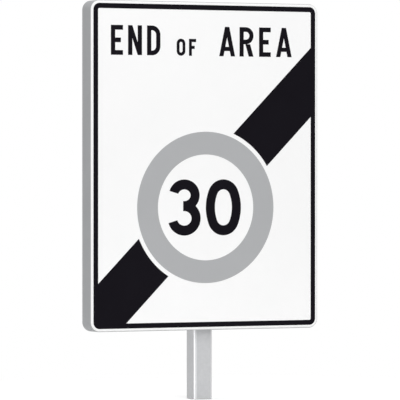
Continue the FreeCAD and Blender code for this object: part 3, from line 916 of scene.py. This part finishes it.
# %% [markdown]
# The washers
#
# A washer is stamped from sheet, which rounds its edges slightly. A flat ring with a bevel would do, but the
# section is so simple that it is quicker to write it: four quarter circles, closed into a loop.

# %% Build the washers
WASHER_BORE = 4.2
STAMP_EASE = 0.3

front = washer_low[1] + STAMP_EASE
rear = washer_high[1] - STAMP_EASE
outer = WASHER_RADIUS - STAMP_EASE
inner = WASHER_BORE + STAMP_EASE
section = np.concatenate(
    (
        arc((outer, rear), STAMP_EASE, 90, 0, EASE_STEPS),
        arc((outer, front), STAMP_EASE, 0, -90, EASE_STEPS),
        arc((inner, front), STAMP_EASE, 270, 180, EASE_STEPS),
        arc((inner, rear), STAMP_EASE, 180, 90, EASE_STEPS),
    )
)
washer_radius = np.repeat(section[:, :1], AROUND, axis=1)
washers = add_rings("flat_washers", turned_points(washer_radius, section[:, 1], no_turn), closed=True)
settle(washers, zinc_plate, "zinc_fasteners", "clamp_washers")

# %% [markdown]
# The nuts
#
# A nut is the same hexagon with a chamfer on both ends and a bore with a countersunk mouth. The nuts could
# be four copies of one, but tightened nuts never stop at the same angle, so each has a turn of its own.

# %% Build the nuts
NUT_BORE = 4.1
NUT_MOUTH = 4.6
MOUTH_DEPTH = 0.5
BORE_SUPPORT = 0.2
NUT_TURNS = np.radians((6, 21, 44, 13))

nut_low, nut_high = box_mm("clamp_nuts")
front = nut_low[1]
rear = nut_high[1]
outer_level = np.concatenate((front + CHAMFER_RISE, rear - CHAMFER_RISE[::-1]))
cone = CHAMFER_RADIUS + np.minimum(outer_level - front, rear - outer_level) * CHAMFER_SLOPE
outer_radius = np.minimum(hexagon, cone[:, None])
from_end = np.array((0, MOUTH_DEPTH, MOUTH_DEPTH + BORE_SUPPORT))
bore_level = np.concatenate((rear - from_end, front + from_end[::-1]))
bore = np.array((NUT_MOUTH, NUT_BORE, NUT_BORE, NUT_BORE, NUT_BORE, NUT_MOUTH))
nut_radius = np.concatenate((outer_radius, np.repeat(bore[:, None], AROUND, axis=1)))
nut_level = np.concatenate((outer_level, bore_level))
nuts = add_rings("hex_nuts", turned_points(nut_radius, nut_level, NUT_TURNS), closed=True)
settle(nuts, zinc_plate, "zinc_fasteners", "clamp_nuts")

# %% [markdown]
# Rails and straps
#
# The rails are sawn lengths of an extrusion and the straps are bent flat bar. They could be built again from
# their sections, but their CAD shapes are right, and all they lack is that no real edge is perfectly sharp.
# So a copy of each mesh is merged, its flat areas are joined, and a narrow bevel eases its edges.

# %% A copy with eased edges
MERGE_DISTANCE = 1e-6
FLAT_ANGLE = math.radians(0.5)
SHARP_ANGLE = math.radians(40)
EASE_SEGMENTS = 2


def eased_copy(node, name, width):
    """A merged copy of a CAD node with its sharp edges eased by a bevel of a given width in millimetres."""
    mesh = bpy.data.meshes.new(name)
    shape = bmesh.new()
    shape.from_mesh(cad_nodes[node].data)
    bmesh.ops.remove_doubles(shape, verts=shape.verts, dist=MERGE_DISTANCE)
    bmesh.ops.dissolve_limit(shape, angle_limit=FLAT_ANGLE, verts=shape.verts, edges=shape.edges)
    shape.to_mesh(mesh)
    shape.free()
    mesh.polygons.foreach_set("use_smooth", np.ones(len(mesh.polygons), bool))
    piece = new_object(name, mesh)
    bevel = piece.modifiers.new("eased_edges", "BEVEL")
    bevel.width = width * MM
    bevel.segments = EASE_SEGMENTS
    bevel.limit_method = "ANGLE"
    bevel.angle_limit = SHARP_ANGLE
    bevel.harden_normals = True
    return piece


print("one helper: eased_copy")

# %% Ease the edges of the rails and straps
RAIL_EASE = 0.3
STRAP_EASE = 0.6

for side in ("upper", "lower"):
    rail = eased_copy(f"rail_{side}", f"slotted_rail_{side}", RAIL_EASE)
    settle(rail, mill_aluminium, "rail_aluminium", f"rail_{side}")
    strap = eased_copy(f"clamp_{side}", f"post_strap_{side}", STRAP_EASE)
    settle(strap, zinc_strap, "galvanised_strap", f"clamp_{side}")

# %% [markdown]
# The words at the top
#
# Above the ring a sign like this has a few plain words cut from black film. Here they are general words. A
# text object could write them, but its font looks nothing like road lettering, which has strokes of one
# width. So each letter is a function of its width, height and stroke, and gives an outline, with a second
# one for its counter where it has one.

# %% Letters with straight strokes
N_SLOPE = 2.7
A_TOP = 1.05
A_FOOT = 1.02
A_BAR_LEVEL = 0.18
A_BAR = 0.9


def upper_arms(width, height, stroke):
    """The middle and the top arm of an E or F, the middle one shorter by half a stroke."""
    low = (height - stroke) / 2
    high = (height + stroke) / 2
    short = width - stroke / 2
    under = height - stroke
    middle_arm = [(stroke, low), (short, low), (short, high), (stroke, high)]
    return middle_arm + [(stroke, under), (width, under), (width, height), (0, height)]


def letter_e(width, height, stroke):
    """Stem with three arms."""
    foot_arm = [(0, 0), (width, 0), (width, stroke), (stroke, stroke)]
    return [foot_arm + upper_arms(width, height, stroke)]


def letter_f(width, height, stroke):
    """Stem with two arms."""
    return [[(0, 0), (stroke, 0)] + upper_arms(width, height, stroke)]


def letter_n(width, height, stroke):
    """Two stems and a slope between them, thick enough measured upright to look one stroke wide."""
    thick = N_SLOPE * stroke
    right = width - stroke
    left_side = [(0, 0), (stroke, 0), (stroke, height - thick), (right, 0), (width, 0)]
    right_side = [(width, height), (right, height), (right, thick), (stroke, height), (0, height)]
    return [left_side + right_side]


def letter_a(width, height, stroke):
    """Two legs that meet in a flat top, and a bar between them."""
    top = A_TOP * stroke
    foot = A_FOOT * stroke
    lean = (width - top) / 2 / height
    low = A_BAR_LEVEL * height
    high = low + A_BAR * stroke
    peak = (width / 2 - foot) / lean
    left_foot = [(0, 0), (foot, 0), (foot + lean * low, low)]
    right_foot = [(width - foot - lean * low, low), (width - foot, 0), (width, 0)]
    flat_top = [((width + top) / 2, height), ((width - top) / 2, height)]
    counter = [(foot + lean * high, high), (width - foot - lean * high, high), (width / 2, peak)]
    return [left_foot + right_foot + flat_top, counter]


print("letters E, F, N and A ready")

# %% Letters with bows
BOW_STEPS = 12
D_BOW = 0.62
R_WAIST = 0.42
R_HIP = 0.42
R_LEG = 1.15


def rounded_end(right, low, high, radius):
    """The right side of a D, O or R: two quarter circles joined by a straight line, from low to high."""
    lower = arc((right - radius, low + radius), radius, -90, 0, BOW_STEPS)
    upper = arc((right - radius, high - radius), radius, 0, 90, BOW_STEPS)
    return np.concatenate((lower, upper))


def bow_counter(width, low, high, radius, stroke):
    """The counter of a D or R, one stroke inside a stem and a rounded end."""
    end = rounded_end(width - stroke, low + stroke, high - stroke, radius - stroke)
    return np.concatenate(([(stroke, low + stroke)], end, [(stroke, high - stroke)]))


def letter_d(width, height, stroke):
    """Stem and a bow."""
    bow = D_BOW * width
    outer = np.concatenate(([(0, 0)], rounded_end(width, 0, height, bow), [(0, height)]))
    return [outer, bow_counter(width, 0, height, bow, stroke)]


def letter_o(width, height, stroke):
    """Two bows back to back, with a counter one stroke in."""
    radius = width / 2
    outer = rounded_end(radius, 0, height, radius)
    inner = rounded_end(radius - stroke, stroke, height - stroke, radius - stroke)
    return [np.concatenate((half, half[::-1] * (-1, 1))) + (radius, 0) for half in (outer, inner)]


def letter_r(width, height, stroke):
    """Stem, a bow over the upper part, and a sloping leg."""
    waist = R_WAIST * height
    bow = (height - waist) / 2
    hip = R_HIP * width
    leg = R_LEG * stroke
    stem_foot = [(0, 0), (stroke, 0), (stroke, waist)]
    sloping_leg = [(hip, waist), (width - leg, 0), (width, 0), (hip + leg, waist)]
    end = rounded_end(width, waist, height, bow)
    outer = np.concatenate((stem_foot, sloping_leg, end, [(0, height)]))
    return [outer, bow_counter(width, waist, height, bow, stroke)]


print("letters D, O and R ready")

# %% [markdown]
# Laying out the words
#
# On the real sign the words stand on one line below the border, the middle one smaller than the others. The
# letters could have fixed places, but a list of widths and gaps is how a sign writer spaces them, so each
# letter starts where the last one ended, after a gap.

# %% Lay out the words
LARGE = {"height": 58.5, "stroke": 9.2}
SMALL = {"height": 33.5, "stroke": 6.2}
WORDS_INSET = 43.5
BASELINE_DROP = 107.0
GAP_LETTER_WIDTH_SIZE = (
    (0.0, letter_e, 26.0, LARGE),
    (11.0, letter_n, 30.0, LARGE),
    (11.0, letter_d, 29.0, LARGE),
    (35.5, letter_o, 19.0, SMALL),
    (8.0, letter_f, 15.5, SMALL),
    (51.0, letter_a, 35.0, LARGE),
    (10.0, letter_r, 31.0, LARGE),
    (12.5, letter_e, 26.0, LARGE),
    (12.0, letter_a, 35.0, LARGE),
)

baseline = panel_high[2] - BASELINE_DROP
left = panel_low[0] + WORDS_INSET
outlines = []
for gap, letter, width, size in GAP_LETTER_WIDTH_SIZE:
    left += gap
    outlines += [np.array(outline) + (left, baseline) for outline in letter(width, **size)]
    left += width
print(f"{len(outlines)} outlines, from x {panel_low[0] + WORDS_INSET} to {left} mm")

# %% [markdown]
# Cutting the words
#
# A plotter cuts the letters from the same black film as the bar. Their outlines could be filled with bmesh,
# but a flat curve already knows that an outline inside another is a hole. So the curve fills and thickens
# them lying down, and its mesh is then stood up against the white film.

# %% Fill the outlines
film_front, film_back = box_mm("border_film")[:, 1]

curve = bpy.data.curves.new("words", "CURVE")
curve.dimensions = "2D"
curve.fill_mode = "BOTH"
curve.extrude = (film_back - film_front) / 2
for outline in outlines:
    count = len(outline)
    spline = curve.splines.new("POLY")
    spline.points.add(count - 1)
    spline.points.foreach_set("co", np.column_stack((outline, np.zeros(count), np.ones(count))).ravel())
    spline.use_cyclic_u = True
flat_words = new_object("words", curve)
bpy.context.view_layer.update()
mesh = bpy.data.meshes.new_from_object(flat_words.evaluated_get(bpy.context.evaluated_depsgraph_get()))
bpy.data.objects.remove(flat_words)
print(f"words filled: {len(mesh.polygons)} faces, {(film_back - film_front):.1f} mm thick")

# %% Stand the words up on the face
flat_points = np.empty(len(mesh.vertices) * 3)
mesh.vertices.foreach_get("co", flat_points)
across, up, out = flat_points.reshape(-1, 3).T
points = np.stack((across, (film_front + film_back) / 2 - out, up), -1) * MM
mesh.vertices.foreach_set("co", points.ravel())
shape = bmesh.new()
shape.from_mesh(mesh)
bmesh.ops.remove_doubles(shape, verts=shape.verts, dist=MERGE_DISTANCE)
bmesh.ops.dissolve_degenerate(shape, edges=shape.edges, dist=MERGE_DISTANCE)
shape.to_mesh(mesh)
shape.free()
mesh.polygons.foreach_set("use_smooth", np.zeros(len(mesh.polygons), bool))
mesh.update()
settle(new_object("word_films", mesh), black_film, "black_film")

# %% [markdown]
# The floor
#
# The sign stands on a pale floor that has no edge against the white. A very large plane could do that, but
# it would throw much light up at the sign. So the floor is a small disc that fades out. It takes light as
# any pale surface does, which keeps the sign's shadow, and to the camera and to metal it also glows a
# little, which lifts it to white without lighting the sign.

# %% Shape the floor
FLOOR_RADIUS = 900.0
FLOOR_HUB = 0.02
FLOOR_RINGS = 24
FLOOR_SPOKES = 96
FLOOR_GAP = 0.5

reach = FLOOR_RADIUS * np.linspace(FLOOR_HUB, 1, FLOOR_RINGS)[:, None]
turn = np.linspace(0, 2 * np.pi, FLOOR_SPOKES, endpoint=False)
floor_level = cad_box[0].z / MM - FLOOR_GAP
disc = np.stack(np.broadcast_arrays(reach * np.cos(turn), reach * np.sin(turn), floor_level), -1)
hub = np.arange(FLOOR_SPOKES)[::-1].tolist()
floor = add_piece("floor", disc.reshape(-1, 3), grid_faces(FLOOR_RINGS, FLOOR_SPOKES).tolist(), [hub])
print(f"floor: a disc of {FLOOR_RADIUS} mm radius at {floor_level} mm")

# %% Paint the floor
FLOOR_COLOUR = (0.86, 0.86, 0.86, 1)
FLOOR_GLOW = 0.4
FADE_RADII = {"From Min": 0.35, "From Max": 0.88}

floor_paint = bpy.data.materials.new("floor_paint")
floor_paint.use_nodes = True
tree = floor_paint.node_tree
tree.nodes.clear()
place = add_node(tree, "TexCoord")
distance = add_node(tree, "VectorMath", {"operation": "LENGTH"})
fade = add_node(tree, "MapRange", {"interpolation_type": "SMOOTHSTEP"}, FADE_RADII)
pale = add_node(tree, "BsdfDiffuse", values={"Color": FLOOR_COLOUR})
glow_level = add_node(tree, "Math", {"operation": "MULTIPLY"}, {1: FLOOR_GLOW})
glow = add_node(tree, "Emission")
lit = add_node(tree, "AddShader")
clear = add_node(tree, "BsdfTransparent")
faded = add_node(tree, "MixShader")
surface = add_node(tree, "OutputMaterial")
tree.links.new(place.outputs["Object"], distance.inputs[0])
tree.links.new(distance.outputs["Value"], fade.inputs["Value"])
tree.links.new(looked_at(tree), glow_level.inputs[0])
tree.links.new(glow_level.outputs[0], glow.inputs["Strength"])
tree.links.new(pale.outputs[0], lit.inputs[0])
tree.links.new(glow.outputs[0], lit.inputs[1])
tree.links.new(fade.outputs["Result"], faded.inputs[0])
tree.links.new(lit.outputs[0], faded.inputs[1])
tree.links.new(clear.outputs[0], faded.inputs[2])
tree.links.new(faded.outputs[0], surface.inputs["Surface"])
floor.data.materials.append(floor_paint)
floor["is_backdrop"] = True
print(f"floor painted, with a glow of {FLOOR_GLOW}")

# %% [markdown]
# The last check
#
# The real sign and its CAD model have one size, so the dressed sign has to fill the same box. It could be
# compared by eye in a view, but two boxes of numbers are surer, so both are worked out and compared.

# %% Compare both boxes
boxes = {"cad": cad_box, "visual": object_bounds()}
growth = np.abs(np.array(boxes["visual"]) - np.array(boxes["cad"])).max() / MM
print(f"the dressed sign's box differs from the CAD box by {growth:.3f} mm at most")
